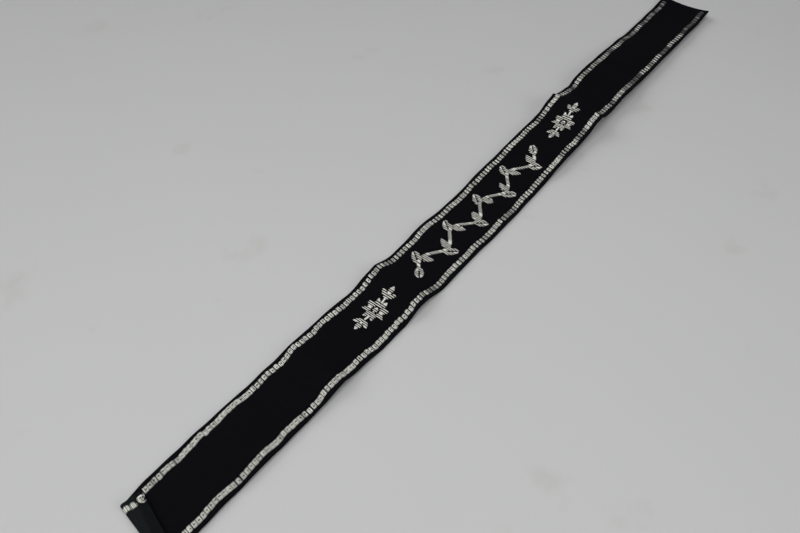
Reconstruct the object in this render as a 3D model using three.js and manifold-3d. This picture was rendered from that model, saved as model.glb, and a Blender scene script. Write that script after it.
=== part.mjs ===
// A woven armband: one long ribbon with metal-thread stripes near both edges and woven ornaments between them.
// It lies loosely, in waves and creases, and its near end is turned over onto the front as a short flap.
// Millimetres: X runs along the ribbon, Y across it and Z up.
//
// Each piece is made flat first, in the ribbon's own measures: s along it, v across it and h through it.
// layOut then folds the flap over and lifts each point by the height of the ribbon there, so that pieces
// that lie against each other in the flat ribbon keep the same gap everywhere.

import * as THREE from "three";
import { mergeVertices } from "three/addons/utils/BufferGeometryUtils.js";
import Module from "manifold-3d";

const wasm = await Module();
wasm.setup();

// Ribbon
const WIDTH = 28;
const THICKNESS = 1;
const BOW = { rise: 2.3, over: 250 }; // the middle line is a parabola, y = rise (x / over)^2
const LONGEST_STEP = 6; // between two cross-sections

// Stripes, each in a shallow groove of the ribbon's face
const STRIPE_WIDTH = 2.3;
const STRIPE_CENTRE = 11.2; // from the middle of the ribbon
const GROOVE_DEPTH = 0.3;
const GAP = 0.12; // between neighbouring pieces
const FRONT_STRIPE_PROUD = 0.1;
const BACK_STRIPE_SUNK = 0.05;
const STRIPE_END_MARGIN = 0.3;
const MIDDLE_LINE = 3.3; // the ribbon's faces between the stripes also bend along two lines this far from its middle

// Fold at the near end: the turned-over flap lies on the front
const FOLD = { s: -196.7, skew: 0.168, radius: 0.75, segments: 8, fade: 16 };
const FLAP = { rawEdge: -204.4, skew: 0.04, spring: 0.3, parts: 3 };

// Far end: its cut is a little hollow, and the upper corner reaches further than the lower one
const FAR_END = { s: 195.9, skew: 0.1, hollow: 1.6 };

// How the ribbon lies: the height of its underside at the upper (+Y) and lower (-Y) edges, how far its middle
// stands above the line between them, how far it lies to the side of the bow, and how sharp the ridge is, from 0
// for a round one
const CREASES = [
  { x: -196.7, upper: 0.0, lower: 0.0, crown: 0.0, side: -1.5, sharp: 0 },
  { x: -184, upper: 0.0, lower: 0.3, crown: 0.1, side: -0.2, sharp: 0 },
  { x: -170, upper: 0.3, lower: 0.4, crown: 0.3, side: 0.0, sharp: 0 },
  { x: -155, upper: 0.5, lower: 0.9, crown: 0.3, side: 0.0, sharp: 0 },
  { x: -138, upper: 0.2, lower: 0.6, crown: 0.2, side: 0.0, sharp: 0 },
  { x: -125, upper: 0.5, lower: 1.3, crown: 0.4, side: 0.0, sharp: 0 },
  { x: -113, upper: 1.5, lower: 2.8, crown: 0.9, side: 0.0, sharp: 0.8 },
  { x: -103, upper: 1.0, lower: 0.9, crown: 0.4, side: 0.0, sharp: 0 },
  { x: -91, upper: 1.3, lower: 0.0, crown: 0.2, side: -0.2, sharp: 0 },
  { x: -80, upper: 0.2, lower: 0.0, crown: 0.2, side: -0.3, sharp: 0 },
  { x: -68, upper: 1.9, lower: 2.3, crown: 0.7, side: 0.0, sharp: 0.3 },
  { x: -63, upper: 2.6, lower: 1.7, crown: 0.9, side: 0.0, sharp: 0.8 },
  { x: -51, upper: 0.0, lower: 0.0, crown: 0.0, side: -0.5, sharp: 0 },
  { x: -33, upper: 1.2, lower: 0.0, crown: 0.4, side: -0.1, sharp: 0 },
  { x: -15, upper: 0.0, lower: 0.0, crown: 0.0, side: -0.5, sharp: 0 },
  { x: -5, upper: 0.0, lower: 0.0, crown: 0.0, side: -0.5, sharp: 0 },
  { x: 12, upper: 1.3, lower: 0.0, crown: 0.3, side: -0.2, sharp: 0 },
  { x: 24, upper: 1.0, lower: 0.3, crown: 0.2, side: 0.0, sharp: 0 },
  { x: 38, upper: 1.8, lower: 2.5, crown: 0.4, side: 0.0, sharp: 0.3 },
  { x: 52, upper: 2.1, lower: 2.7, crown: 0.3, side: 0.0, sharp: 0 },
  { x: 62, upper: 2.5, lower: 3.5, crown: 0.5, side: 0.0, sharp: 0 },
  { x: 70, upper: 5.6, lower: 5.9, crown: 1.2, side: 0.0, sharp: 0.3 },
  { x: 75, upper: 6.8, lower: 6.2, crown: 1.4, side: 0.0, sharp: 1 },
  { x: 78.5, upper: 4.3, lower: 4.1, crown: 0.8, side: 0.0, sharp: 0.5 },
  { x: 86, upper: 2.6, lower: 3.3, crown: 0.5, side: 0.0, sharp: 0 },
  { x: 91, upper: 1.8, lower: 4.2, crown: 0.3, side: 0.0, sharp: 0.5 },
  { x: 97, upper: 3.7, lower: 4.6, crown: 0.4, side: 0.0, sharp: 0 },
  { x: 105, upper: 4.4, lower: 4.0, crown: 0.5, side: 0.0, sharp: 0 },
  { x: 120, upper: 3.6, lower: 2.8, crown: 0.3, side: 0.0, sharp: 0 },
  { x: 138, upper: 2.1, lower: 2.8, crown: 0.2, side: 0.0, sharp: 0 },
  { x: 156, upper: 0.0, lower: 2.1, crown: 0.0, side: 0.0, sharp: 0 },
  { x: 168, upper: 0.0, lower: 2.6, crown: -0.3, side: -0.1, sharp: 0 },
  { x: 182, upper: 0.0, lower: 1.8, crown: -0.3, side: -0.2, sharp: 0 },
  { x: 197, upper: 0.8, lower: 2.9, crown: -0.3, side: -0.2, sharp: 0 },
];

// Ornaments: thin plates of raised metal thread on the front
const PLATE_THICKNESS = 0.3;
const CURVE_PARTS = 5; // the straight parts of one side of a leaf
const SNAP = 0.05; // a corner this near a cross-section is moved onto it, so that no sliver is cut off
const VINE = {
  from: -52,
  to: 36,
  halfWaves: 8,
  swing: 3,
  stem: 1.5,
  steps: 6,
  outerLeaf: { length: 7.8, width: 4, turn: 0.95 },
  innerLeaf: { length: 5.8, width: 3.2, turn: 1.15 },
  tipLeaf: { length: 7.4, width: 4 },
};
const ROSETTE = {
  places: { left_rosette: -79.8, right_rosette: 61.9 },
  petals: 8,
  petal: { length: 5.8, width: 3 },
  centre: 1.9,
  stem: { half: 8.6, width: 0.9 },
  sideLeaf: { from: 6.6, length: 4.6, width: 2.1, turn: 0.85 },
  tipLeaf: { from: 8, length: 4.7, width: 2.4 },
};

const BLACK_RAYON = { color: 0x111116, roughness: 0.7, metalness: 0 };
const METAL_THREAD = { color: 0xb9b6ab, roughness: 0.4, metalness: 0.8 };
const TARNISHED_THREAD = { color: 0x8f8d86, roughness: 0.5, metalness: 0.7 };

const { clamp, lerp } = THREE.MathUtils;

// One column between two rows of the table: a curve with slope 0 at a round ridge and a steep one at a sharp ridge
function creaseValue(column, a, b, t) {
  const rise = b[column] - a[column];
  const leaving = 1.6 * a.sharp * rise * t * (1 - t) ** 2;
  const arriving = 1.6 * b.sharp * rise * t ** 2 * (t - 1);
  return a[column] + rise * t ** 2 * (3 - 2 * t) + leaving + arriving;
}

// The lines across the ribbon along which its faces meet, with the heights there. The stretch between two rows of
// the table is divided evenly.
function bendList() {
  const bends = [];
  CREASES.slice(1).forEach((b, row) => {
    const a = CREASES[row];
    const parts = Math.ceil((b.x - a.x) / LONGEST_STEP);
    for (let part = 0; part < parts; part++) {
      const bend = { x: lerp(a.x, b.x, part / parts) };
      for (const column of ["upper", "lower", "crown", "side"]) {
        bend[column] = creaseValue(column, a, b, part / parts);
      }
      bends.push(bend);
    }
  });
  return [...bends, CREASES.at(-1)];
}
const BENDS = bendList();

// The height of the underside at x and, across the ribbon, at v, and how far it lies to the side there. Both are
// straight between two bends.
function lie(x, v) {
  const found = BENDS.findIndex((bend) => bend.x >= x);
  const next = found < 0 ? BENDS.length - 1 : Math.max(found, 1);
  const [a, b] = [BENDS[next - 1], BENDS[next]];
  const t = clamp((x - a.x) / (b.x - a.x), 0, 1);
  const across = clamp(v / WIDTH + 0.5, 0, 1);
  const value = (column) => lerp(a[column], b[column], t);
  const height = lerp(value("lower"), value("upper"), across) + value("crown") * 4 * across * (1 - across);
  return { height, side: value("side") + BOW.rise * (x / BOW.over) ** 2 };
}

// From the flat ribbon to the ribbon as it lies. The fold is a half round of FOLD.radius about a line that runs
// slantwise across the ribbon, and what is beyond it runs back over the front, upside down.
const foldTurn = Math.atan(FOLD.skew);
const foldNormal = new THREE.Vector2(Math.cos(foldTurn), -Math.sin(foldTurn));
const foldLength = Math.PI * FOLD.radius;

function layOut({ s, v, h }) {
  const at = new THREE.Vector2(s, v);
  const before = (s - FOLD.s) * foldNormal.x + v * foldNormal.y;
  let height = THICKNESS / 2 + h;
  if (before < 0) {
    const angle = Math.min(-before / FOLD.radius, Math.PI);
    const beyond = Math.max(-before - foldLength, 0);
    const inward = beyond - (FOLD.radius - h) * Math.sin(angle);
    at.addScaledVector(foldNormal, inward - before);
    height = THICKNESS / 2 + FOLD.radius - (FOLD.radius - h) * Math.cos(angle) + FLAP.spring * (beyond / 6) ** 2;
  }
  const lying = lie(at.x, at.y);
  return new THREE.Vector3(at.x, at.y + lying.side, height + lying.height);
}

// The cross-sections, from the raw edge of the flap to the far end. Each is a line s = s0 + skew v + hollow (2v/w)^2.
function stationList() {
  const bendStart = FOLD.s - foldLength / Math.cos(foldTurn);
  const stations = [];
  for (let part = 0; part < FLAP.parts; part++) {
    const t = part / FLAP.parts;
    stations.push({ s: lerp(FLAP.rawEdge, bendStart, t), skew: lerp(FLAP.skew, FOLD.skew, t), hollow: 0 });
  }
  for (let part = 0; part < FOLD.segments; part++) {
    stations.push({ s: lerp(bendStart, FOLD.s, part / FOLD.segments), skew: FOLD.skew, hollow: 0 });
  }
  for (const { x } of BENDS.slice(0, -1)) {
    stations.push({ s: x, skew: FOLD.skew * clamp(1 - (x - FOLD.s) / FOLD.fade, 0, 1), hollow: 0 });
  }
  return [...stations, FAR_END];
}
const STATIONS = stationList();

function stationPlace(index, v, margin) {
  const { s, skew, hollow } = STATIONS[index];
  const inset = index === 0 ? margin : index === STATIONS.length - 1 ? -margin : 0;
  return s + skew * v + hollow * ((2 * v) / WIDTH) ** 2 + inset;
}

function polygon(points) {
  return new THREE.Shape(points.map(([x, y]) => new THREE.Vector2(x, y)));
}

// A strip of the ribbon's whole length: the section (v, h) is extruded with one step for each cross-section, and
// each step is then moved to its place.
function strip(section, margin = 0) {
  const steps = STATIONS.length - 1;
  const geometry = new THREE.ExtrudeGeometry(section, { steps, depth: steps, bevelEnabled: false });
  const position = geometry.getAttribute("position");
  for (let i = 0; i < position.count; i++) {
    const v = position.getX(i);
    const s = stationPlace(Math.round(position.getZ(i)), v, margin);
    position.setXYZ(i, ...layOut({ s, v, h: position.getY(i) }));
  }
  return geometry;
}

function ribbonSection() {
  const half = STRIPE_WIDTH / 2 + GAP;
  const face = (side) => {
    const level = (side * THICKNESS) / 2;
    const floor = level - side * GROOVE_DEPTH;
    const groove = (centre) => [
      [centre - half, level],
      [centre - half, floor],
      [centre + half, floor],
      [centre + half, level],
    ];
    const middle = [[-MIDDLE_LINE, level], [MIDDLE_LINE, level]];
    return [[-WIDTH / 2, level], ...groove(-STRIPE_CENTRE), ...middle, ...groove(STRIPE_CENTRE), [WIDTH / 2, level]];
  };
  return polygon([...face(-1), ...face(1).reverse()]);
}

function stripeSection(centre, side) {
  const floor = side * (THICKNESS / 2 - GROOVE_DEPTH + GAP);
  const level = side * (THICKNESS / 2 + (side > 0 ? FRONT_STRIPE_PROUD : -BACK_STRIPE_SUNK));
  const [left, right] = [centre - STRIPE_WIDTH / 2, centre + STRIPE_WIDTH / 2];
  return polygon([[left, floor], [right, floor], [right, level], [left, level]]);
}

// A flat plate (s, v) of raised thread as a solid, turned and moved to its place
function plate(shape, place = [0, 0], turn = 0) {
  const options = { depth: PLATE_THICKNESS, bevelEnabled: false, curveSegments: CURVE_PARTS };
  const geometry = new THREE.ExtrudeGeometry(shape, options);
  geometry.rotateZ(turn);
  geometry.translate(place[0], place[1], THICKNESS / 2 + GAP);
  geometry.deleteAttribute("normal");
  geometry.deleteAttribute("uv");
  const merged = mergeVertices(geometry, 1e-4);
  const vertProperties = merged.getAttribute("position").array;
  return new wasm.Manifold(new wasm.Mesh({ numProp: 3, vertProperties, triVerts: new Uint32Array(merged.index.array) }));
}

function leafShape(length, width) {
  const shape = new THREE.Shape().moveTo(0, 0);
  shape.quadraticCurveTo(length * 0.4, width, length, 0);
  return shape.quadraticCurveTo(length * 0.4, -width, 0, 0);
}

function barShape(length, width) {
  return polygon([[0, -width / 2], [length, -width / 2], [length, width / 2], [0, width / 2]]);
}

function discShape(radius) {
  return new THREE.Shape().absarc(0, 0, radius, 0, 2 * Math.PI);
}

function joined(solids) {
  return solids.reduce((whole, next) => whole.add(next));
}

// A running vine: a waving stem with a leaf out of each half wave, a smaller one back across it, and one at both tips
function vine() {
  const halfWave = (VINE.to - VINE.from) / VINE.halfWaves;
  const wave = (s) => VINE.swing * Math.sin((Math.PI * (s - VINE.from)) / halfWave);
  const slope = (s) => ((VINE.swing * Math.PI) / halfWave) * Math.cos((Math.PI * (s - VINE.from)) / halfWave);
  const side = (sign) => {
    const points = [];
    for (let i = 0; i <= VINE.halfWaves * VINE.steps; i++) {
      const s = VINE.from + (i * halfWave) / VINE.steps;
      const turn = Math.atan(slope(s));
      const out = (sign * VINE.stem) / 2;
      points.push([s - out * Math.sin(turn), wave(s) + out * Math.cos(turn)]);
    }
    return points;
  };
  const parts = [plate(polygon([...side(-1), ...side(1).reverse()]))];
  const { outerLeaf, innerLeaf, tipLeaf } = VINE;
  for (let i = 0; i < VINE.halfWaves; i++) {
    const up = i % 2 ? -1 : 1;
    const crest = VINE.from + (i + 0.5) * halfWave;
    const root = crest - 0.28 * halfWave;
    parts.push(plate(leafShape(outerLeaf.length, outerLeaf.width), [root, wave(root)], up * outerLeaf.turn));
    parts.push(plate(leafShape(innerLeaf.length, innerLeaf.width), [crest, wave(crest)], -up * innerLeaf.turn));
  }
  const tip = leafShape(tipLeaf.length, tipLeaf.width);
  parts.push(plate(tip, [VINE.to - 1, wave(VINE.to - 1)], Math.atan(slope(VINE.to))));
  parts.push(plate(tip, [VINE.from + 1, wave(VINE.from + 1)], Math.PI + Math.atan(slope(VINE.from))));
  return joined(parts);
}

// A rosette with a small sprig of three leaves on both sides of it
function rosette(place) {
  const { petal, stem, sideLeaf, tipLeaf } = ROSETTE;
  const parts = [plate(discShape(ROSETTE.centre), [place, 0])];
  for (let i = 0; i < ROSETTE.petals; i++) {
    const turn = ((i + 0.5) * 2 * Math.PI) / ROSETTE.petals;
    parts.push(plate(leafShape(petal.length, petal.width), [place, 0], turn));
  }
  parts.push(plate(barShape(2 * stem.half, stem.width), [place - stem.half, 0]));
  for (const way of [1, -1]) {
    const turn = way > 0 ? 0 : Math.PI;
    parts.push(plate(leafShape(tipLeaf.length, tipLeaf.width), [place + way * tipLeaf.from, 0], turn));
    for (const side of [1, -1]) {
      const from = [place + way * sideLeaf.from, 0];
      parts.push(plate(leafShape(sideLeaf.length, sideLeaf.width), from, turn + side * sideLeaf.turn));
    }
  }
  return joined(parts);
}

// The part of a polygon on one side of a line along which the ribbon bends, x = cut or y = cut. A new corner is
// worked out from the same end of its edge for both sides, so that neighbouring pieces share it exactly.
function clip(corners, { axis, cut }, side) {
  const kept = [];
  corners.forEach((corner, i) => {
    const next = corners[(i + 1) % corners.length];
    const [here, there] = [corner[axis] - cut, next[axis] - cut];
    if (side * here >= 0) kept.push(corner);
    if (here * there < 0) {
      const [low, high] = here < there ? [corner, next] : [next, corner];
      const crossing = new THREE.Vector3().lerpVectors(low, high, (cut - low[axis]) / (high[axis] - low[axis]));
      crossing[axis] = cut;
      kept.push(crossing);
    }
  });
  return kept;
}

// An ornament on the ribbon: its faces are cut where the ribbon's own faces meet, so that it bends with the ribbon
function laidOrnament(solid) {
  const bends = BENDS.map(({ x }) => ({ axis: "x", cut: x }));
  bends.push({ axis: "y", cut: -MIDDLE_LINE }, { axis: "y", cut: MIDDLE_LINE });
  const { vertProperties, triVerts, numProp } = solid.getMesh();
  const corner = (index) => {
    const point = new THREE.Vector3().fromArray(vertProperties, index * numProp);
    for (const { axis, cut } of bends) {
      if (Math.abs(point[axis] - cut) < SNAP) point[axis] = cut;
    }
    return point;
  };
  let faces = [];
  for (let i = 0; i < triVerts.length; i += 3) {
    faces.push([...triVerts.subarray(i, i + 3)].map(corner));
  }
  for (const bend of bends) {
    faces = faces.flatMap((face) => {
      const ahead = face.some((point) => point[bend.axis] > bend.cut);
      const behind = face.some((point) => point[bend.axis] < bend.cut);
      return ahead && behind ? [clip(face, bend, 1), clip(face, bend, -1)] : [face];
    });
  }
  const positions = [];
  for (const face of faces) {
    for (let i = 1; i + 1 < face.length; i++) {
      for (const { x, y, z } of [face[0], face[i], face[i + 1]]) {
        positions.push(...layOut({ s: x, v: y, h: z }));
      }
    }
  }
  const geometry = new THREE.BufferGeometry();
  geometry.setAttribute("position", new THREE.Float32BufferAttribute(positions, 3));
  geometry.computeVertexNormals();
  return geometry;
}

function piece(name, geometry, look) {
  const mesh = new THREE.Mesh(geometry, new THREE.MeshStandardMaterial(look));
  mesh.name = name;
  return mesh;
}

const armband = new THREE.Group();
armband.add(piece("ribbon", strip(ribbonSection()), BLACK_RAYON));
for (const [edge, centre] of [["upper", STRIPE_CENTRE], ["lower", -STRIPE_CENTRE]]) {
  const front = strip(stripeSection(centre, 1), STRIPE_END_MARGIN);
  const back = strip(stripeSection(centre, -1), STRIPE_END_MARGIN);
  armband.add(piece(`${edge}_front_stripe`, front, METAL_THREAD));
  armband.add(piece(`${edge}_back_stripe`, back, TARNISHED_THREAD));
}
armband.add(piece("vine_ornament", laidOrnament(vine()), METAL_THREAD));
for (const [name, place] of Object.entries(ROSETTE.places)) {
  armband.add(piece(name, laidOrnament(rosette(place)), METAL_THREAD));
}

// The origin is in the middle of the ground that the ribbon covers, at the height of what it lies on
const extent = new THREE.Box3().setFromObject(armband);
const middle = extent.getCenter(new THREE.Vector3());
armband.children.forEach((mesh) => mesh.position.set(-middle.x, -middle.y, -extent.min.z));

export default armband;
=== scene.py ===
# %% [markdown]
# # A woven armband, lying on a table
#
# The object is one long ribbon of black rayon, 28 mm wide, woven with two stripes and some ornament in flat
# metal thread. It lies loosely, so it waves and creases, and its near end is turned over onto the front.
#
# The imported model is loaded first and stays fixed. Every visible piece below is worked out in the flat
# cloth, as s along the ribbon, v across it and h through it, and one function then lays it out on the
# table. It could also be draped by simulation, but then the creases would fall where they like and not
# where they are here.

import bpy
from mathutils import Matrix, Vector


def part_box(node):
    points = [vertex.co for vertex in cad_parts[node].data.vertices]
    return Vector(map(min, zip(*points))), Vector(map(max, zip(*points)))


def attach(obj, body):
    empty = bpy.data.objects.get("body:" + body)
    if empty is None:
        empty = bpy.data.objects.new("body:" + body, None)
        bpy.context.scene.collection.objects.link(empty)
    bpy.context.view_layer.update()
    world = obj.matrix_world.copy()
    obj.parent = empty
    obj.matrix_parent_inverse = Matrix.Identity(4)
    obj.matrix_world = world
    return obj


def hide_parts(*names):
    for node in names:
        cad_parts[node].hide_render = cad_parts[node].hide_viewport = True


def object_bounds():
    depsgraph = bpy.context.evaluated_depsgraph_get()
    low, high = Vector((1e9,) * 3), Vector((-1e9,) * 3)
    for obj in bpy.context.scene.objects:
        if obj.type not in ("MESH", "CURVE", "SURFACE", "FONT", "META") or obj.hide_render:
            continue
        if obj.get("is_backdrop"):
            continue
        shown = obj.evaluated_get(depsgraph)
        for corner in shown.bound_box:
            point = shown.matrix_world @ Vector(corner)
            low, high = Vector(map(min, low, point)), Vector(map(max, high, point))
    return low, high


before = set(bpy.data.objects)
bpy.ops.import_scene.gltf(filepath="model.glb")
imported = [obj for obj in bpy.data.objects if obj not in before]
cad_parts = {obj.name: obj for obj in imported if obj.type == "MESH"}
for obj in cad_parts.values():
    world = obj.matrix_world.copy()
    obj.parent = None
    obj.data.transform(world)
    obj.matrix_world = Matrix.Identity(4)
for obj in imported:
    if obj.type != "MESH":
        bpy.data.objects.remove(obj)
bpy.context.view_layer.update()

import math

import bpy
import numpy as np
from mathutils import Matrix, Vector

MM = 0.001

# %% [markdown]
# ## How the ribbon lies
#
# The ribbon is described as its owner would see it: a table with one row for each crest and each hollow,
# and the height of both edges there. Between two rows a cubic curve joins the heights. It leaves a round
# ridge level and a sharp ridge steeply. A Bezier surface could have the same shape, but a table with named
# columns can be read and corrected one crease at a time.

# %% The driving sizes, in millimetres
WIDTH = 28.0
THICKNESS = 1.0
STRIPE_CENTRE = 11.2
RAW_END = (-204.4, 0.04)  # place at the middle of the ribbon, and its slant across
FOLD_PLACE, FOLD_SLANT, FOLD_RADIUS = -196.7, 0.168, 0.75
FLAP_SPRING = 0.3  # how far the raw edge of the flap has sprung open
FAR_END = (195.9, 0.1, 1.6)  # place, slant and hollow of the cut
BOW_RISE, BOW_OVER = 2.3, 250.0  # the whole ribbon bows sideways by a parabola

# Heights of both edges and of the crown between them, and the shift sideways, in mm. Sharp goes from 0 to 1.
COLUMNS = ("x", "upper", "lower", "crown", "side", "sharp")
CREASES = np.array([
    (-196.7, 0.0, 0.0, 0.0, -1.5, 0.0),
    (-184, 0.0, 0.3, 0.1, -0.2, 0.0),
    (-170, 0.3, 0.4, 0.3, 0.0, 0.0),
    (-155, 0.5, 0.9, 0.3, 0.0, 0.0),
    (-138, 0.2, 0.6, 0.2, 0.0, 0.0),
    (-125, 0.5, 1.3, 0.4, 0.0, 0.0),
    (-113, 1.5, 2.8, 0.9, 0.0, 0.8),
    (-103, 1.0, 0.9, 0.4, 0.0, 0.0),
    (-91, 1.3, 0.0, 0.2, -0.2, 0.0),
    (-80, 0.2, 0.0, 0.2, -0.3, 0.0),
    (-68, 1.9, 2.3, 0.7, 0.0, 0.3),
    (-63, 2.6, 1.7, 0.9, 0.0, 0.8),
    (-51, 0.0, 0.0, 0.0, -0.5, 0.0),
    (-33, 1.2, 0.0, 0.4, -0.1, 0.0),
    (-15, 0.0, 0.0, 0.0, -0.5, 0.0),
    (-5, 0.0, 0.0, 0.0, -0.5, 0.0),
    (12, 1.3, 0.0, 0.3, -0.2, 0.0),
    (24, 1.0, 0.3, 0.2, 0.0, 0.0),
    (38, 1.8, 2.5, 0.4, 0.0, 0.3),
    (52, 2.1, 2.7, 0.3, 0.0, 0.0),
    (62, 2.5, 3.5, 0.5, 0.0, 0.0),
    (70, 5.6, 5.9, 1.2, 0.0, 0.3),
    (75, 6.8, 6.2, 1.4, 0.0, 1.0),
    (78.5, 4.3, 4.1, 0.8, 0.0, 0.5),
    (86, 2.6, 3.3, 0.5, 0.0, 0.0),
    (91, 1.8, 4.2, 0.3, 0.0, 0.5),
    (97, 3.7, 4.6, 0.4, 0.0, 0.0),
    (105, 4.4, 4.0, 0.5, 0.0, 0.0),
    (120, 3.6, 2.8, 0.3, 0.0, 0.0),
    (138, 2.1, 2.8, 0.2, 0.0, 0.0),
    (156, 0.0, 2.1, 0.0, 0.0, 0.0),
    (168, 0.0, 2.6, -0.3, -0.1, 0.0),
    (182, 0.0, 1.8, -0.3, -0.2, 0.0),
    (197, 0.8, 2.9, -0.3, -0.2, 0.0),
])
print(len(CREASES), "rows from", CREASES[0, 0], "to", CREASES[-1, 0])


# %% Heights between the rows
def crease(column, x):
    """One column of the table at x: a cubic from row to row, level at a round ridge, steep at a sharp one"""
    at = CREASES[:, 0]
    row = np.clip(np.searchsorted(at, x) - 1, 0, len(at) - 2)
    t = np.clip((x - at[row]) / (at[row + 1] - at[row]), 0, 1)
    value = CREASES[:, COLUMNS.index(column)]
    sharp = CREASES[:, COLUMNS.index("sharp")]
    rise = value[row + 1] - value[row]
    leaving = 1.6 * sharp[row] * rise * t * (1 - t) ** 2
    arriving = 1.6 * sharp[row + 1] * rise * t**2 * (t - 1)
    return value[row] + rise * t**2 * (3 - 2 * t) + leaving + arriving


# %% [markdown]
# ## Puckers
#
# Metal thread does not shrink as the rayon does, so beside the stripes such a ribbon puckers: the stripes
# wander a little from side to side, and the selvages ripple up and down. Both are sums of two waves of
# unlike length, which never repeat in step. Random noise would give lumps of every size instead.


# %% Puckers beside the stripes
PUCKER_ASIDE, PUCKER_UPWARDS = 0.42, 0.09


def wave(x, crest, length):
    """A cosine with a crest at that x, and one every length"""
    return np.cos(2 * np.pi * (x - crest) / length)


def pucker(x, v):
    """(sideways, upwards) in mm: sums of two waves along x. Sideways they are weighted by a bell over the
    stripe, and upwards by the sixth power of the way to the edge. Both fade by a logistic curve at the fold
    and weaken beyond x = -60. Beyond x = 75 the upper stripe also lies further in."""
    near = (0.6 + 0.4 / (1 + np.exp((x + 60) / 20))) / (1 + np.exp(-(x + 189) / 1.5))
    upper = wave(x, -16.0, 16.2) + 0.6 * wave(x, -150.0, 47.0) - 1.2 / (1 + np.exp(-(x - 75) / 8))
    lower = wave(x, -9.0, 18.3) + 0.6 * wave(x, -178.0, 33.0)
    over_stripe = np.exp(-(((np.abs(v) - STRIPE_CENTRE) / 1.9) ** 2))
    at_edge = np.clip(np.abs(v) / (WIDTH / 2), 0, 1) ** 6
    ripple = wave(x, -4.0, 11.3) + wave(x, 7.0 * np.sign(v), 18.9) + 1.2
    aside = PUCKER_ASIDE * near * np.where(v > 0, upper, lower) * over_stripe
    return aside, PUCKER_UPWARDS * near * ripple * at_edge


# %% [markdown]
# ## Fold and drape
#
# The turned-over end is a half round about a line that runs slantwise across the ribbon. A point beyond
# that line travels round it and then back over the front, upside down. After the fold, each point is lifted
# by the height of the ribbon at its place. The wires and the cloth go through the same function, so they
# stay together.

# %% From the flat cloth to the table
FOLD_NORMAL = np.array([1.0, -FOLD_SLANT]) / math.hypot(1.0, FOLD_SLANT)
FLAP_CREASES = ((2.1, 0.16), (4.3, 0.12))  # distance from the fold, and height, of the flap's own creases


def lying(x, v):
    """(sideways, upwards) in mm at x: straight from edge to edge, with a parabola for the crown"""
    across = np.clip(v / WIDTH + 0.5, 0, 1)
    upper, lower, crown = (crease(column, x) for column in ("upper", "lower", "crown"))
    aside, ripple = pucker(x, v)
    height = lower + (upper - lower) * across + crown * 4 * across * (1 - across) + ripple
    return crease("side", x) + BOW_RISE * (x / BOW_OVER) ** 2 + aside, height


def lay_flat_on_table(s, v, h):
    """Points (..., 3) in mm: the fold turns what is beyond its line by an angle of distance over radius. The
    flap springs open by the square of its distance from the fold, and each of its creases is a bell."""
    s, v, h = np.broadcast_arrays(s, v, h)
    before = (s - FOLD_PLACE) * FOLD_NORMAL[0] + v * FOLD_NORMAL[1]
    angle = np.clip(-before / FOLD_RADIUS, 0, np.pi)
    beyond = np.clip(-before - np.pi * FOLD_RADIUS, 0, None)
    moved = np.where(before < 0, beyond - (FOLD_RADIUS - h) * np.sin(angle) - before, 0)
    x, y = s + FOLD_NORMAL[0] * moved, v + FOLD_NORMAL[1] * moved
    dents = sum(height * np.exp(-(((beyond - place) / 0.6) ** 2)) for place, height in FLAP_CREASES)
    sprung = FLAP_SPRING * (beyond / 6) ** 2 + dents * (beyond > 0)
    flap = FOLD_RADIUS - (FOLD_RADIUS - h) * np.cos(angle) + sprung
    aside, height = lying(x, y)
    return np.stack([x, y + aside, THICKNESS / 2 + np.where(before < 0, flap, h) + height], -1)


# %% The place of the origin
# The upper corner of the far end has both the highest x and the highest y of the ribbon.
cad_box = np.array(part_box("ribbon")) / MM
corner_x = FAR_END[0] + FAR_END[1] * WIDTH / 2 + FAR_END[2]
corner_y = WIDTH / 2 + crease("side", corner_x) + BOW_RISE * (corner_x / BOW_OVER) ** 2
SHIFT = np.array([cad_box[1, 0] - corner_x, cad_box[1, 1] - corner_y, 0.0])
print("shift in mm:", SHIFT.round(3))

# %% [markdown]
# ## Meshes from arrays
#
# All pieces are tubes: the ribbon is one wide, flat tube that is closed at its two cut ends, and each metal
# thread is a small one. A tube is a grid of rings, so its faces are pure index arithmetic. The whole batch
# goes into one mesh with foreach_set, which is much faster than adding faces one by one.


# %% Tubes into one mesh
def tube_faces(tubes, rings, around):
    """Quads of (tubes, rings, around) points: ring k joins ring k + 1, and the last corner joins the first"""
    corner = np.arange(tubes * rings * around).reshape(tubes, rings, around)
    here, after = corner[:, :-1], corner[:, 1:]
    quads = np.stack([here, np.roll(here, -1, 2), np.roll(after, -1, 2), after], -1)
    return quads.reshape(-1, 4)


def fan_caps(tubes, rings, around):
    """One flat face over the first and the last ring of each tube, turned to face out of its end"""
    corner = np.arange(tubes * rings * around).reshape(tubes, rings, around)
    return np.concatenate([corner[:, 0, ::-1], corner[:, -1]])


def volume_sign(points, quads):
    """The sign of the volume: the sum over all quads of corner a dot (b cross c) and of a dot (c cross d)"""
    a, b, c, d = (points[quads[:, k]] for k in range(4))
    return np.sign((a * np.cross(b, c)).sum() + (a * np.cross(c, d)).sum())


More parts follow.
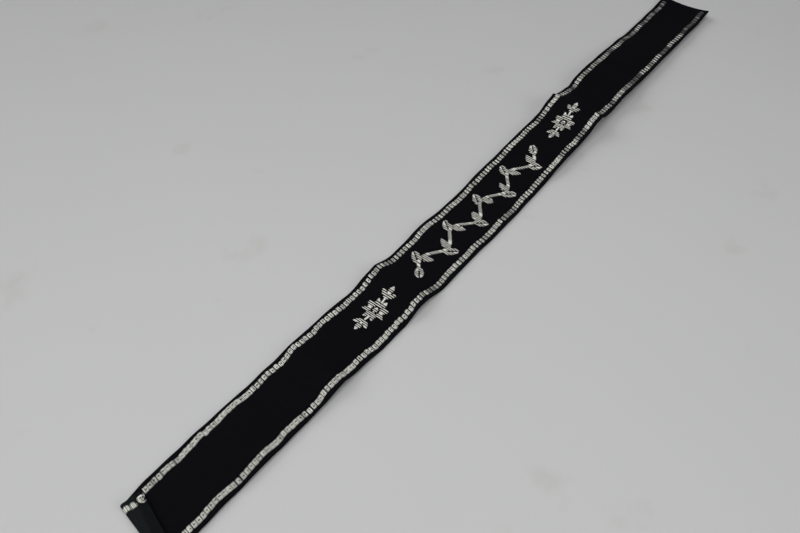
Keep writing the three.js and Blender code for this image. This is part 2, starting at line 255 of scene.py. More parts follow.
def new_piece(name, points, face_sets, flat, values, material):
    """A mesh object from points in mm and arrays of faces. flat (s, v) is kept as its UV map, in mm."""
    points = (points.reshape(-1, 3) + SHIFT) * MM
    if volume_sign(points, face_sets[0]) < 0:
        face_sets = [faces[:, ::-1] for faces in face_sets]
    corners = np.concatenate([faces.ravel() for faces in face_sets])
    sizes = np.concatenate([np.full(len(faces), faces.shape[1]) for faces in face_sets])
    mesh = bpy.data.meshes.new(name)
    mesh.vertices.add(len(points))
    mesh.vertices.foreach_set("co", points.ravel())
    mesh.loops.add(len(corners))
    mesh.loops.foreach_set("vertex_index", corners)
    mesh.polygons.add(len(sizes))
    mesh.polygons.foreach_set("loop_start", np.concatenate([[0], np.cumsum(sizes)[:-1]]))
    mesh.polygons.foreach_set("use_smooth", np.ones(len(sizes), bool))
    mesh.update(calc_edges=True)
    mesh.uv_layers.new(name="flat_cloth").uv.foreach_set("vector", flat.reshape(-1, 2)[corners].ravel())
    for key, value in values.items():
        mesh.attributes.new(key, "FLOAT", "POINT").data.foreach_set("value", value.ravel())
    mesh.materials.append(material)
    piece = bpy.data.objects.new(name, mesh)
    bpy.context.scene.collection.objects.link(piece)
    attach(piece, "root")
    triangles = int((sizes - 2).sum())
    print(f"{name}: {len(points)} points, {triangles} triangles")
    return piece


# %% [markdown]
# ## Materials
#
# Colours are given as they look on a screen, and one function turns them to the linear values that a
# renderer adds up. Another adds a node with its settings and links, so that a material reads as a list of
# its layers.


# %% Colours and nodes
def linear(colour):
    """sRGB hex to linear RGBA: each channel is divided by 12.92 when dark, and else follows a power of 2.4"""
    channels = np.array([int(colour[k : k + 2], 16) for k in (1, 3, 5)]) / 255
    bright = ((channels + 0.055) / 1.055) ** 2.4
    return (*np.where(channels <= 0.04045, channels / 12.92, bright), 1.0)


def add_node(material, kind, links=(), **settings):
    """A node of that kind. A setting is an attribute or an input's name, or its number after _, and a link is
    (output, input)."""
    node = material.node_tree.nodes.new(kind)
    for key, value in settings.items():
        if hasattr(node, key):
            setattr(node, key, value)
        else:
            slot = int(key[1:]) if key[1:].isdigit() else key.replace("_", " ")
            node.inputs[slot].default_value = value
    for output, name in links:
        material.node_tree.links.new(output, node.inputs[name])
    return node


def new_material(name):
    """A material and its main shader"""
    material = bpy.data.materials.new(name)
    material.use_nodes = True
    return material, material.node_tree.nodes["Principled BSDF"]


# %% [markdown]
# ## Black rayon, woven as a fine rep
#
# Rayon is a smooth, dense black. In a rep the picks lie close, so the cloth has fine ribs straight across,
# here 0.42 mm apart, crossed by warp threads every 0.25 mm. It shows almost no gloss straight on and a
# faint one at a glancing angle, which the sheen gives. The reverse is duller and a little green-grey, but
# for a darker band at the raw edge. The pattern reads the flat cloth's own coordinates, so it follows every
# fold.


# %% Rayon
RIB_PITCH, WARP_PITCH = 0.42, 0.25
rayon, shader = new_material("woven_black_rayon")
flat_place = add_node(rayon, "ShaderNodeUVMap", uv_map="flat_cloth")
split = add_node(rayon, "ShaderNodeSeparateXYZ", [(flat_place.outputs["UV"], "Vector")])


def wave_along(output, pitch):
    """sin(2 pi x / pitch) of one flat coordinate"""
    turns = add_node(rayon, "ShaderNodeMath", [(output, 0)], operation="MULTIPLY", _1=2 * math.pi / pitch)
    return add_node(rayon, "ShaderNodeMath", [(turns.outputs[0], 0)], operation="SINE")


ribs = wave_along(split.outputs["X"], RIB_PITCH)
warps = wave_along(split.outputs["Y"], WARP_PITCH)
both_waves = [(ribs.outputs[0], 0), (warps.outputs[0], 1)]
crossing = add_node(rayon, "ShaderNodeMath", both_waves, operation="MULTIPLY")
crossing_and_ribs = [(crossing.outputs[0], 0), (ribs.outputs[0], 2)]
weave = add_node(rayon, "ShaderNodeMath", crossing_and_ribs, operation="MULTIPLY_ADD", _1=0.6)
slubs = add_node(rayon, "ShaderNodeTexNoise", [(flat_place.outputs["UV"], "Vector")], Scale=0.35, Detail=5.0)
reverse = add_node(rayon, "ShaderNodeAttribute", attribute_name="reverse")
front_colour = add_node(
    rayon,
    "ShaderNodeMix",
    [(slubs.outputs["Fac"], "Factor")],
    data_type="RGBA",
    _6=linear("#060609"),
    _7=linear("#0b0b10"),
)
both_colours = add_node(
    rayon,
    "ShaderNodeMix",
    [(reverse.outputs["Fac"], "Factor"), (front_colour.outputs["Result"], 6)],
    data_type="RGBA",
    _7=linear("#181b1c"),
)
weave_height = [(weave.outputs[0], "Height")]
weave_bump = add_node(rayon, "ShaderNodeBump", weave_height, Strength=0.35, Distance=0.06 * MM)
rayon.node_tree.links.new(both_colours.outputs["Result"], shader.inputs["Base Color"])
rayon.node_tree.links.new(weave_bump.outputs["Normal"], shader.inputs["Normal"])
shader.inputs["Roughness"].default_value = 0.78
shader.inputs["Specular IOR Level"].default_value = 0.05
shader.inputs["Sheen Weight"].default_value = 0.003
shader.inputs["Sheen Roughness"].default_value = 0.5
print("rib pitch", RIB_PITCH, "mm, warp pitch", WARP_PITCH, "mm")

# %% [markdown]
# ## Flat metal thread
#
# The silvery thread is a narrow strip of metal foil, wound on a core or laid flat, so it mirrors softly
# across its width. Its many creases scatter half of the light, so the shader is half metal and half a pale,
# rough coat. Each wire carries its own value from bright to dull, which the mesh holds as an attribute,
# because a noise texture would run across many wires at once. The value is partly uneven tarnish and partly
# painted light and shade: a painted highlight where the wires would mirror the lamps, and painted shade where
# they turn away.


# %% Metal thread
metal, shader = new_material("flat_silvered_metal_thread")
# The tarnish attribute holds tarnish together with painted light and shade: lower and brighter where the
# wires would mirror the lamps, higher and darker where they turn away.
tarnish_and_painted_light = add_node(metal, "ShaderNodeAttribute", attribute_name="tarnish_and_painted_light")
metal_colour = add_node(
    metal,
    "ShaderNodeMix",
    [(tarnish_and_painted_light.outputs["Fac"], "Factor")],
    data_type="RGBA",
    _6=linear("#fffff6"),
    _7=linear("#4c4c4c"),
)
wire_place = [(add_node(metal, "ShaderNodeUVMap", uv_map="flat_cloth").outputs["UV"], "Vector")]
creases = add_node(metal, "ShaderNodeTexNoise", wire_place, Scale=3.0, Detail=4.0)
crease_height = [(creases.outputs["Fac"], "Height")]
metal_bump = add_node(metal, "ShaderNodeBump", crease_height, Strength=0.3, Distance=0.04 * MM)
from_tarnish = [(tarnish_and_painted_light.outputs["Fac"], "Value")]
roughness = add_node(metal, "ShaderNodeMapRange", from_tarnish, To_Min=0.4, To_Max=0.55)
metal.node_tree.links.new(metal_colour.outputs["Result"], shader.inputs["Base Color"])
metal.node_tree.links.new(metal_bump.outputs["Normal"], shader.inputs["Normal"])
metal.node_tree.links.new(roughness.outputs["Result"], shader.inputs["Roughness"])
shader.inputs["Metallic"].default_value = 0.5
print("materials:", [material.name for material in (rayon, metal)])

# %% [markdown]
# ## The ribbon
#
# The cloth is one closed surface: a ring runs over the front, round a selvage, back under the reverse and
# round the other selvage. The rings stand close together where the cloth turns over, and slant with the
# fold line.


# %% Rings of the ribbon
FLAP_RINGS, FOLD_RINGS, LONG_RINGS = 22, 16, 640


def ring_places():
    """s, slant and hollow of each ring, from the raw edge through the fold to the far end"""
    bend = FOLD_PLACE - math.pi * FOLD_RADIUS * math.hypot(1.0, FOLD_SLANT)
    flap = np.linspace(RAW_END[0], bend, FLAP_RINGS, endpoint=False)
    fold = np.linspace(bend, FOLD_PLACE, FOLD_RINGS, endpoint=False)
    s = np.concatenate([flap, fold, np.linspace(FOLD_PLACE, FAR_END[0], LONG_RINGS)])
    knots = (RAW_END[0], bend, FOLD_PLACE, FOLD_PLACE + 16, FAR_END[0] - 10, FAR_END[0])
    slant = np.interp(s, knots, (RAW_END[1], FOLD_SLANT, FOLD_SLANT, 0, 0, FAR_END[1]))
    return s, slant, np.interp(s, knots[-2:], (0, FAR_END[2]))


def ribbon_section(steps=56, edge_share=0.8):
    """(v, h) of one ring: v runs from selvage to selvage and back, and h is a half round near each selvage"""
    t = np.linspace(-1, 1, steps + 1)
    v = WIDTH / 2 * ((1 - edge_share) * t + edge_share * np.sin(np.pi / 2 * t))
    inwards = np.clip(1 - (WIDTH / 2 - np.abs(v)) / (THICKNESS / 2), 0, 1)
    h = THICKNESS / 2 * np.sqrt(1 - inwards**2)
    return np.concatenate([v, v[-2:0:-1]]), np.concatenate([h, -h[-2:0:-1]])


def strip_caps(rings, around):
    """Faces over both cut ends: corner k of the front joins corner k of the reverse, with a triangle at each
    side."""
    half = around // 2
    k = np.arange(1, half - 1)
    quads = np.stack([k, k + 1, around - k - 1, around - k], -1)
    ends = np.array([[0, 1, around - 1], [half - 1, half, half + 1]])
    last = (rings - 1) * around
    return [np.concatenate([quads, quads[:, ::-1] + last]), np.concatenate([ends, ends[:, ::-1] + last])]


# %% The ribbon itself
DARK_BAND = 3.6  # how far the reverse is dark from its raw edge
s, slant, hollow = ring_places()
v, h = ribbon_section()
ring_s = s[:, None] + slant[:, None] * v + hollow[:, None] * (2 * v / WIDTH) ** 2
past_dark_band = 1 / (1 + np.exp((RAW_END[0] + DARK_BAND - ring_s) / 0.15))
points = lay_flat_on_table(ring_s, v[None], h[None])
caps, cap_ends = strip_caps(len(s), len(v))
ribbon = new_piece(
    "woven_ribbon",
    points,
    [np.concatenate([tube_faces(1, len(s), len(v)), caps]), cap_ends],
    np.stack([ring_s, np.broadcast_to(v, ring_s.shape)], -1),
    {"reverse": (h < 0) * (0.45 + 0.55 * past_dark_band)},
    rayon,
)
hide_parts("ribbon")

# %% [markdown]
# ## Metal threads as floats
#
# Each bright pick is a flat wire that comes up through the cloth, floats over it and goes down again. One
# function turns any number of centre lines, given as (s, v, h), into flat tubes in one mesh. A texture of
# stripes would be lighter to draw, but it would not glint wire by wire.

# %% Tubes along any lines
FOOT_DEPTH = 0.06  # how deep the ends of a float are sunk in the cloth
random = np.random.default_rng(7)


def thread_tubes(name, lines, width, thick, tarnish_and_painted_light, material, tilt=0.0):
    """Tubes round (threads, rings, 3) centre lines. A ring is an ellipse, width/2 cos(a) across the line and
    thick/2 sin(a) upwards. tilt lifts one side of each ring, as where the cloth is rounded."""
    turn = np.linspace(0, 2 * np.pi, 6, endpoint=False) + np.pi / 6
    along = np.gradient(lines, axis=1)[..., :2]
    along /= np.linalg.norm(along, axis=-1, keepdims=True) + 1e-9
    threads, rings = lines.shape[:2]
    width, tilt = (np.broadcast_to(value, threads)[:, None, None] for value in (width, tilt))
    taper = (0.55 + 0.45 * np.sin(np.pi * np.linspace(0, 1, rings)) ** 0.5)[:, None]
    out = width / 2 * taper * np.cos(turn)
    s = lines[..., 0, None] + out * along[..., 1, None]
    v = lines[..., 1, None] - out * along[..., 0, None]
    h = lines[..., 2, None] + tilt * out + thick / 2 * np.sin(turn)
    shape = (threads, rings, len(turn))
    values = {"tarnish_and_painted_light": np.broadcast_to(np.clip(tarnish_and_painted_light, 0, 1)[:, None, None], shape)}
    faces = [tube_faces(*shape), fan_caps(*shape)]
    return new_piece(name, lay_flat_on_table(s, v, h), faces, np.stack([s, v], -1), values, material)


def floats(s, low, high, rings, rise, dip=0.0, side=1, lift=0.0):
    """Centre lines across the ribbon: from a foot sunk in the cloth, h rises by (rise + lift) sin(pi t)^0.35,
    less a bell, dip exp(-((t - 1/2) / 0.12)^2), in the middle."""
    t = np.linspace(0, 1, rings)
    chance = random.normal(0, 1, (4, len(s), 1))
    low, high = low[:, None] + 0.05 * chance[0], high[:, None] + 0.05 * chance[1]
    dip = np.broadcast_to(dip, len(s))[:, None]
    level = (rise + 0.02 * chance[2]) * np.sin(np.pi * t) ** 0.35 - dip * np.exp(-(((t - 0.5) / 0.12) ** 2))
    lift = np.broadcast_to(lift, len(s))[:, None] * np.sin(np.pi * t) ** 0.35
    h = side * (THICKNESS / 2 - FOOT_DEPTH + level + lift)
    return np.stack([s[:, None] + 0.02 * chance[3] + 0 * h, low + (high - low) * t, h], -1)


# %% [markdown]
# ## The stripes
#
# A stripe is woven in blocks: four picks of metal, a line of black, and again, about every 2 mm. A black warp
# thread binds each block in its middle, so the block swells into two small cushions with a dark pit between
# them. At the near end the blocks are wide, in the middle they draw together into narrow beads, and at the
# far end they are worn smooth and partly tarnished, and the binding hardly shows. Their metal is painted
# bright at the near end, a painted highlight, and duller towards the far end, partly tarnish and partly
# painted shade. One short table says how they change along the ribbon, and another where a patch is painted
# brighter or duller than the rest, mostly painted light and shade on the slopes of the cloth. A noise would
# put them anywhere.


# %% How the stripes change along the ribbon
BLOCK, WIRE_SPAN, WIRE_CENTRE = 2.0, 2.48, 11.15
LEAN, ROUNDED = 0.14, 0.09  # how far the wires lean, and by how much the outer wires of a block are shorter
COVERED = 0.84  # the share of their spacing that the wires of a block cover
DULL_BY_BLOCK, DULL_BY_WIRE = 0.42, 0.28  # chance in the tarnish

# Half the length of the metal in a block and the height of its cushion, in mm, and what adds to its tarnish:
# partly tarnish and partly painted light, with a painted highlight at the near end and painted shade towards
# the far end.
LOOK_COLUMNS = ("x", "half_block", "cushion", "dull")
LOOKS = np.array([
    (-200, 0.67, 0.22, -0.33),
    (-110, 0.67, 0.22, -0.33),
    (-85, 0.62, 0.24, -0.12),
    (-60, 0.53, 0.26, -0.12),
    (30, 0.49, 0.26, -0.02),
    (66, 0.48, 0.26, 0.05),
    (82, 0.46, 0.20, 0.2),
    (110, 0.52, 0.14, 0.6),
    (140, 0.60, 0.08, 0.92),
    (200, 0.60, 0.08, 0.92),
])
# The patches are mostly painted light: duller ones are painted shade, as behind the ridge at 76 to 79 mm, and
# brighter ones are painted highlights where the cloth slopes towards the lamps.
# Edge is 1 for the upper stripe, -1 for the lower one and 0 for both.
PATCH_COLUMNS = ("edge", "start", "end", "duller", "longer")
PATCHES = np.array([
    (0, -206, -197.6, 0.0, 0.1),
    (0, -60, -56, 0.45, -0.04),
    (0, -47, -28, 0.0, 0.08),
    (0, -18, -9, -0.1, 0.08),
    (0, 33, 41, -0.25, 0.12),
    (0, 44, 49, 0.3, -0.03),
    (0, 50, 55, -0.25, 0.05),
    (0, 56, 62, 0.35, -0.03),
    (0, 65, 74, -0.3, 0.2),
    (0, 76, 79, 0.4, 0.0),
    (0, 88, 91, 0.4, 0.1),
    (0, 92, 101, -0.45, 0.1),
    (1, 103, 190, -0.25, 0.0),
    (1, 132, 138, -0.75, -0.22),
    (1, 158, 165, -0.75, -0.22),
    (-1, 121, 129, -0.95, -0.14),
    (-1, 133, 142, -0.95, -0.2),
    (-1, 152, 167, -0.95, -0.2),
])


def look(column, s):
    """One column of the first table at s, in a straight line from row to row"""
    return np.interp(s, LOOKS[:, 0], LOOKS[:, LOOK_COLUMNS.index(column)])


def patch(column, s, edge):
    """One column of the second table at s: the values of its patches, whose ends fade by a logistic curve"""
    which, start, end = PATCHES[:, :3].T[:, :, None]
    within = 1 / (1 + np.exp((start - s) / 0.4)) / (1 + np.exp((s - end) / 0.4))
    value = PATCHES[:, PATCH_COLUMNS.index(column), None]
    return (value * within * ((which == 0) | (which == edge))).sum(0)


def tarnish_and_painted_light_at(s, edge):
    """From 0, bright, to 1, dull: what both tables say, which is partly tarnish and partly painted light and
    shade, and chance for each block and each of its wires
    """
    by_block = np.repeat(random.uniform(0, DULL_BY_BLOCK, len(s) // 4), 4)
    return look("dull", s) + patch("duller", s, edge) + by_block + random.normal(0, DULL_BY_WIRE, s.shape)


def bound(s):
    """How tightly a block is bound in its middle: from 0, where its cushion is 0.06 mm high, in a straight
    line to 1, where it is 0.2 mm high."""
    return np.clip((look("cushion", s) - 0.06) / 0.14, 0, 1)


# %% Wires of the stripes
def block_places(start, end):
    """Middles of the blocks: lengths of about 2 mm, each with a few percent of chance, added up"""
    count = int((end - start) / BLOCK)
    lengths = random.normal(1, 0.07, count)
    return start + (end - start) * (np.cumsum(lengths) - lengths / 2) / lengths.sum()


def stripe_wires(name, blocks, edge, side, rings, rise, dull):
    """Four floats to a block. On the front they lie on its cushion, h = cushion (1 - (away / reach)^2), with
    the reach half as long again as the half block. They lean with it, and dip under the binding thread."""
    half_block = look("half_block", blocks) + patch("longer", blocks, edge)
    half_block = np.repeat(half_block + random.normal(0, 0.02, len(blocks)), 4)
    cushion = np.repeat(look("cushion", blocks), 4) * (side > 0)
    away = half_block * np.tile([-1, -1 / 3, 1 / 3, 1], len(blocks))
    reach = 1.5 * half_block
    s = np.repeat(blocks, 4) + away
    ragged = np.repeat(random.normal(0, 1, len(blocks)) * np.where(blocks < -60, 0.16, 0.08), 4)
    half_span = WIRE_SPAN / 2 - ROUNDED * (away / half_block) ** 2
    middle = edge * WIRE_CENTRE + ragged
    dip = (side > 0) * bound(s) * (0.1 + 0.15 * (np.abs(away) < 0.5 * half_block))
    lift = cushion * (1 - (away / reach) ** 2)
    lines = floats(s, middle - half_span, middle + half_span, rings, rise, dip, side, lift)
    lines[..., 0] += LEAN * (lines[..., 1] - edge * WIRE_CENTRE)
    width = COVERED * (2 / 3) * half_block + random.normal(0, 0.02, s.shape)
    tilt = -2 * cushion * away / reach**2 + random.normal(0, 0.12, s.shape)
    # tarnish together with painted highlight and painted shade from both tables, and chance
    tarnish_and_painted_light = tarnish_and_painted_light_at(s, edge) + dull
    return thread_tubes(name, lines, width=width, thick=0.12, tarnish_and_painted_light=tarnish_and_painted_light, material=metal, tilt=tilt)


def binding_warps(name, blocks, edge, rings=9):
    """Black threads along the ribbon, which arch over the middle of each block by 0.27 bound sin(pi t) mm"""
    t = np.linspace(0, 1, rings)
    middle, v = blocks[:, None], np.full((len(blocks), 1), edge * WIRE_CENTRE)
    middle, v = middle + random.normal(0, 0.12, middle.shape), v + random.normal(0, 0.1, v.shape)
    s = middle + (1.2 * look("half_block", middle) + 0.2) * (t - 0.5)
    h = THICKNESS / 2 + 0.02 + 0.27 * bound(s) * np.sin(np.pi * t)
    lines = np.stack([s, v + 0 * s, h], -1)
    return thread_tubes(name, lines, width=0.48, thick=0.1, tarnish_and_painted_light=np.zeros(len(blocks)), material=rayon)


BARE_AT_RAW_END = {"upper": 4.2, "lower": 2.4}  # where the first picks on the flap are gone
for edge_name, edge in (("upper", 1), ("lower", -1)):
    front = block_places(RAW_END[0] + 1.0, FAR_END[0] - 2.0)
    back = block_places(RAW_END[0] + BARE_AT_RAW_END[edge_name], FAR_END[0] - 2.0)
    wires = stripe_wires(f"{edge_name}_front_wires", front, edge, 1, rings=13, rise=0.15, dull=0.0)
    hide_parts(f"{edge_name}_front_stripe")
    wires = stripe_wires(f"{edge_name}_back_wires", back, edge, -1, rings=8, rise=0.06, dull=0.1)
    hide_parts(f"{edge_name}_back_stripe")
    warps = binding_warps(f"{edge_name}_binding_warps", front, edge)

# %% [markdown]
# ## The woven ornament
#
# In the middle runs a vine, and on both sides of it stands a rosette between two sprigs. The loom can only
# lift or drop a pick, so each motif is a question put to every place of the cloth: is it inside? The
# answers along one pick, read from selvage to selvage, give the runs of metal on it. Long runs are bound
# down in between, because a loose float catches and breaks. Where a run is long, every second pick stays
# below, which draws the thin dark lines across each broad shape.


# %% Shapes as masks
def inside_leaf(s, v, root, turn, length, width, vein=0.0):
    """Inside the two arcs that join root and tip: |b|, across the leaf, is under the height of a quadratic
    curve over a, along it. The vein is left bare from a quarter of the length to the tip."""
    a = (s - root[0]) * math.cos(turn) + (v - root[1]) * math.sin(turn)
    b = -(s - root[0]) * math.sin(turn) + (v - root[1]) * math.cos(turn)
    t = (np.sqrt(0.64 + 0.8 * np.clip(a / length, 0, 1)) - 0.8) / 0.4
    bare = (np.abs(b) < vein / 2) & (a > 0.25 * length)
    return (a > 0) & (a < length) & (np.abs(b) < 2 * t * (1 - t) * width) & ~bare


def inside_bar(s, v, root, turn, length, width):
    """Inside a straight bar that starts at root"""
    a = (s - root[0]) * math.cos(turn) + (v - root[1]) * math.sin(turn)
    b = -(s - root[0]) * math.sin(turn) + (v - root[1]) * math.cos(turn)
    return (a >= 0) & (a <= length) & (np.abs(b) <= width / 2)


def inside_disc(s, v, centre, radius):
    """Inside a round disc"""
    return (s - centre[0]) ** 2 + (v - centre[1]) ** 2 <= radius**2


# %% The vine and the rosettes
VINE_ENDS, HALF_WAVE, SWING, STEM = (-52.0, 36.0), 11.0, 3.0, 1.5
OUTER_LEAF = {"length": 7.8, "width": 4.0, "vein": 0.5}
INNER_LEAF = {"length": 5.8, "width": 3.2}
TIP_LEAF = {"length": 7.4, "width": 4.0, "vein": 0.5}
ROSETTES = {"left_rosette": -79.8, "right_rosette": 61.9}
PETAL, RING_RADIUS, DISC_RADIUS = {"length": 5.8, "width": 2.7}, 1.9, 1.2
SPRIG_STEM = {"length": 17.2, "width": 0.9}
SPRIG_TIP = {"length": 4.7, "width": 2.4}
SPRIG_LEAF = {"length": 4.6, "width": 2.1}


def inside_vine(s, v):
    """A sine stem with a leaf at both tips and, in each half wave, a leaf outwards and one across"""
    phase = np.pi * (s - VINE_ENDS[0]) / HALF_WAVE
    steep = np.hypot(1, SWING * np.pi / HALF_WAVE * np.cos(phase))
    within = (s > VINE_ENDS[0]) & (s < VINE_ENDS[1])
    inside = within & (np.abs(v - SWING * np.sin(phase)) < STEM / 2 * steep)
    for k in range(int((VINE_ENDS[1] - VINE_ENDS[0]) / HALF_WAVE)):
        up = -1 if k % 2 else 1
        crest = (VINE_ENDS[0] + (k + 0.5) * HALF_WAVE, up * SWING)
        root = (crest[0] - 0.28 * HALF_WAVE, up * SWING * math.cos(0.28 * math.pi))
        inside |= inside_leaf(s, v, root, up * 0.95, **OUTER_LEAF)
        inside |= inside_leaf(s, v, crest, -up * 1.15, **INNER_LEAF)
    tilt = math.atan(SWING * math.pi / HALF_WAVE)
    drop = SWING * math.sin(math.pi / HALF_WAVE)
    inside |= inside_leaf(s, v, (VINE_ENDS[1] - 1, -drop), tilt, **TIP_LEAF)
    return inside | inside_leaf(s, v, (VINE_ENDS[0] + 1, drop), math.pi + tilt, **TIP_LEAF)


def inside_rosette(s, v, place):
    """Eight leaf-shaped petals round a bare ring and a disc, and at each side a stem with three leaves"""
    inside = inside_bar(s, v, (place - SPRIG_STEM["length"] / 2, 0), 0, **SPRIG_STEM)
    for k in range(8):
        inside |= inside_leaf(s, v, (place, 0), (k + 0.5) * math.pi / 4, **PETAL)
    inside &= ~inside_disc(s, v, (place, 0), RING_RADIUS)
    inside |= inside_disc(s, v, (place, 0), DISC_RADIUS)
    for way, turn in ((1, 0.0), (-1, math.pi)):
        inside |= inside_leaf(s, v, (place + 8 * way, 0), turn, **SPRIG_TIP)
        for side in (1, -1):
            inside |= inside_leaf(s, v, (place + 6.6 * way, 0), turn + side * 0.85, **SPRIG_LEAF)
    return inside


# %% Runs of metal
PICK, LONGEST_FLOAT, SHORTEST_FLOAT = 0.43, 4.5, 0.45
SOLID_RUN = 1.9  # a shorter run shows on every pick, a longer one only on every second pick
STEP = 0.05  # how finely a pick is searched


def runs(inside, start, end):
    """(s, low, high) of each float: where the mask turns on and off along a pick. Long runs split evenly."""
    s = np.arange(start, end, PICK)
    v = np.arange(-9, 9, STEP)
    mask = inside(s[:, None], v[None]).astype(int)
    pick, on = np.nonzero(np.diff(mask, axis=1) == 1)
    off = np.nonzero(np.diff(mask, axis=1) == -1)[1]
    run = (off - on) * STEP
    parts = np.ceil(run / LONGEST_FLOAT).astype(int)
    which = np.repeat(np.arange(len(on)), parts)
    part = np.arange(len(which)) - np.repeat(np.cumsum(parts) - parts, parts)
    length = (run / parts)[which]
    low = v[on][which] + part * length
    keep = (length > SHORTEST_FLOAT) & ((run < SOLID_RUN) | (pick % 2 == 0))[which]
    return s[pick][which][keep], low[keep], (low + length)[keep]


ornaments = {"vine_ornament": (inside_vine, -60, 45)}
for name, place in ROSETTES.items():
    ornaments[name] = (lambda s, v, place=place: inside_rosette(s, v, place), place - 14, place + 14)

for name, (inside, start, end) in ornaments.items():
    s, low, high = runs(inside, start, end)
    dull = 0.1 * (name == "right_rosette") + random.normal(0, 0.12, s.shape)
    lines = floats(s, low, high, rings=13, rise=0.22)
    ornament = thread_tubes(f"{name}_wires", lines, width=0.44, thick=0.16, tarnish_and_painted_light=dull, material=metal)
    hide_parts(name)

# %% [markdown]
# ## Loose ends
#
# Where the band was cut, nothing holds the weave. At the turned-over end the metal picks of the upper
# stripe have slipped out and stand in a small tuft of loops, with one dull pick left between it and the
# whole blocks. Black fibres fray at both cuts. They go through the same functions, so they lie on the cloth
# wherever it lies.


# %% Tuft at the raw edge
def loops(middle, radii, turned, swept, lift, rings=17):
    """Arcs of ellipses in the cloth, swept on from one angle, that rise by lift sin(pi t) over the reverse"""
    t = np.linspace(0, 1, rings)
    angle = turned[:, None] + swept[:, None] * t
    s = middle[:, :1] + radii[:, :1] * np.cos(angle)
    v = middle[:, 1:] + radii[:, 1:] * np.sin(angle)
    return np.stack([s, v, -(THICKNESS / 2 + 0.05 + lift[:, None] * np.sin(np.pi * t))], -1)


# The places of two nearly closed loops are given. The other loops are open, and chance places them.
LOOPS = 10
middle = np.stack([random.uniform(-203.4, -201.9, LOOPS), random.uniform(10.0, 11.5, LOOPS)], -1)
middle[:2] = (-202.2, 11.5), (-202.9, 10.0)
radii = random.uniform((0.5, 0.6), (1.2, 1.3), (LOOPS, 2))
radii[:2] = (0.85, 0.6), (0.6, 0.8)
swept = random.uniform(2.2, 3.6, LOOPS)
swept[:2] = 5.2
lines = loops(middle, radii, random.uniform(0, 6.3, LOOPS), swept, random.uniform(0.25, 0.8, LOOPS))
dull = random.uniform(0, 0.3, LOOPS)
tuft = thread_tubes("loose_metal_threads", lines, width=0.25, thick=0.14, tarnish_and_painted_light=dull, material=metal)

# %% Last pick before the tuft
lines = floats(np.array([-200.6]), np.array([9.9]), np.array([11.0]), rings=9, rise=0.15, side=-1)
dull = np.array([0.8])
last_pick = thread_tubes("dull_last_pick", lines, width=0.6, thick=0.14, tarnish_and_painted_light=dull, material=metal)

# %% Frayed fibres
FIBRES, FIBRE_WIDTH = 90, 0.07
t = np.linspace(0, 1, 5)
v = random.uniform(-13.4, 13.4, (FIBRES, 1))
reach = random.uniform(0.25, 0.9, (FIBRES, 1)) ** 1.5
far = np.arange(FIBRES)[:, None] % 2
far_cut = FAR_END[0] + FAR_END[1] * v + FAR_END[2] * (2 * v / WIDTH) ** 2
raw_cut = RAW_END[0] + RAW_END[1] * v
s = np.where(far, far_cut, raw_cut) + np.where(far, 1, -1) * ((reach + 0.3) * t - 0.3)
bend = random.normal(0, 0.25, (FIBRES, 1)) * t**2
lines = np.stack([s, v + bend, random.uniform(-0.4, 0.4, (FIBRES, 1)) * (1 - 0.4 * t)], -1)
fray = thread_tubes("frayed_fibres", lines, FIBRE_WIDTH, FIBRE_WIDTH, np.zeros(FIBRES), rayon)

# %% [markdown]
# ## The table
#
# The band lies on a smooth, pale grey top with a few faint smudges. A plain plane is enough for it, a hair
# below the lowest fibres so that the two surfaces never share a place.

# %% Table top
bpy.ops.mesh.primitive_plane_add(size=30.0, location=(0, 0, -0.11 * MM))
table_top = bpy.context.object
table_top.name = "table_top"
laminate, shader = new_material("matt_grey_laminate")
table_place = [(add_node(laminate, "ShaderNodeTexCoord").outputs["Object"], "Vector")]
clouds = add_node(laminate, "ShaderNodeTexNoise", table_place, Scale=9.0, Detail=3.0)
tint = add_node(
    laminate,
    "ShaderNodeMix",
    [(clouds.outputs["Fac"], "Factor")],
    data_type="RGBA",
    _6=linear("#c9c9c9"),
    _7=linear("#cdcdcd"),
)
spots = add_node(laminate, "ShaderNodeTexNoise", table_place, Scale=27.0, Detail=6.0)
smudges = add_node(
    laminate,
    "ShaderNodeMapRange",
    [(spots.outputs["Fac"], "Value")],
    From_Min=0.63,
    From_Max=0.78,
    To_Max=0.35,
)
soiled = add_node(
    laminate,
    "ShaderNodeMix",
    [(smudges.outputs["Result"], "Factor"), (tint.outputs["Result"], 6)],
    data_type="RGBA",
    _7=linear("#aaa699"),
)
laminate.node_tree.links.new(soiled.outputs["Result"], shader.inputs["Base Color"])
shader.inputs["Roughness"].default_value = 0.6
shader.inputs["Specular IOR Level"].default_value = 0.3
table_top.data.materials.append(laminate)
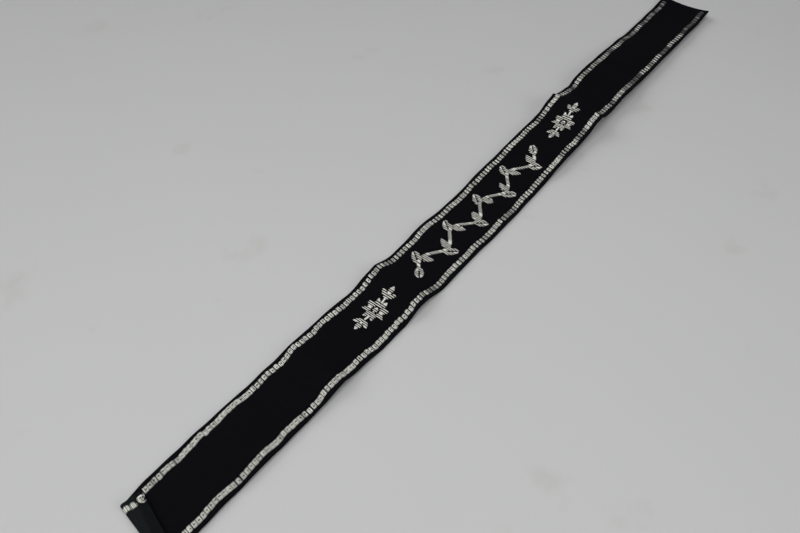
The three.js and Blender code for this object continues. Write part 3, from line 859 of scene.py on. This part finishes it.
table_top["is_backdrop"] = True

# %% [markdown]
# ## Light and camera
#
# The light is that of a room. A wide window far off on the upper-left side leaves a soft shadow, a few
# millimetres wide, along the lower-right edge. A lamp close above the near end makes the table grow darker
# towards the far end. A weak fill comes from the other side, and a faint glow from all around. The camera
# stands where the straight edges and the spacing of the stripes say that it stood, looking down at 48
# degrees along the ribbon.


# %% Light
def aim(place, target):
    """Turns -Z towards the target"""
    return (Vector(target) - Vector(place)).to_track_quat("-Z", "Y").to_matrix().to_4x4()


def area_light(name, place, size, power, colour):
    """A round lamp that shines on the origin, with its size in metres and its power in watts"""
    lamp = bpy.data.lights.new(name, "AREA")
    lamp.shape, lamp.size, lamp.energy = "DISK", size, power
    lamp.color = linear(colour)[:3]
    light = bpy.data.objects.new(name, lamp)
    light.matrix_world = Matrix.Translation(place) @ aim(place, (0, 0, 0))
    bpy.context.scene.collection.objects.link(light)


area_light("window", (-0.6, 4.0, 2.9), 4.0, 104.0, "#ffffff")
area_light("key", (-0.22, -0.06, 0.55), 0.6, 1.85, "#ffffff")
area_light("fill", (0.3, -1.7, 1.0), 1.2, 9.0, "#ffffff")
world = bpy.data.worlds.new("room")
bpy.context.scene.world = world
world.use_nodes = True
world.node_tree.nodes["Background"].inputs["Color"].default_value = linear("#e9eaee")
world.node_tree.nodes["Background"].inputs["Strength"].default_value = 0.12

# %% Camera
CAMERA_PLACE = np.array([-237.08, -138.56, 263.0]) + SHIFT
YAW, PITCH, ROLL = 38.65, 48.41, -0.52
lens = bpy.data.cameras.new("camera")
lens.lens, lens.sensor_width, lens.clip_start = 38.25, 36.0, 0.01
camera = bpy.data.objects.new("camera", lens)
turn = Matrix.Rotation(math.radians(YAW - 90), 4, "Z") @ Matrix.Rotation(math.radians(90 - PITCH), 4, "X")
turn = turn @ Matrix.Rotation(math.radians(ROLL), 4, "Z")
camera.matrix_world = Matrix.Translation(CAMERA_PLACE * MM) @ turn
bpy.context.scene.collection.objects.link(camera)
bpy.context.scene.camera = camera
bpy.context.scene.view_settings.view_transform = "Standard"

# %% Sizes, and the end
low, high = (list(corner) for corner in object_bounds())
print("visual box in mm:", np.round(low, 5) / MM, np.round(high, 5) / MM)
